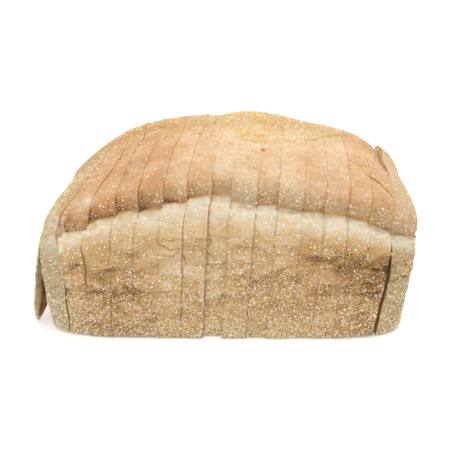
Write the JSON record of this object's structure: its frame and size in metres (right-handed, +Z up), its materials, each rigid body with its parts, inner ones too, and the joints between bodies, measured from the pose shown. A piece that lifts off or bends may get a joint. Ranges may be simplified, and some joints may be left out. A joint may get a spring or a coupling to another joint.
{
  "type": "sliced loaf of bread",
  "caption": "Tin loaf with a risen dome over straight walls, cut into slices between two heels, dusted with coarse cornmeal, with one end crust peeling away.",
  "frame": {"origin": "on the flat base, under the middle of the whole loaf's box", "axes": "+X along the loaf towards the whole heel, +Y away from the side the picture shows, +Z up"},
  "size_m": [0.2276, 0.1244, 0.1228],
  "materials": {
    "crust": "baked crust, matt, floury",
    "dusted_crust": "pale baked crust under a thick dust of cornmeal",
    "end_crust": "thin end crust, torn pale at its edges"
  },
  "bodies": {
    "root": {"end_crust": "end_crust", "heel_left": "dusted_crust", "slice_01": "crust", "slice_02": "crust", "slice_03": "crust", "slice_04": "crust", "slice_05": "crust", "slice_06": "crust", "slice_07": "crust", "slice_08": "crust", "slice_09": "crust", "slice_10": "crust", "slice_11": "crust", "slice_12": "crust", "slice_13": "crust", "slice_14": "crust", "heel_right": "dusted_crust"}
  },
  "joints": []
}
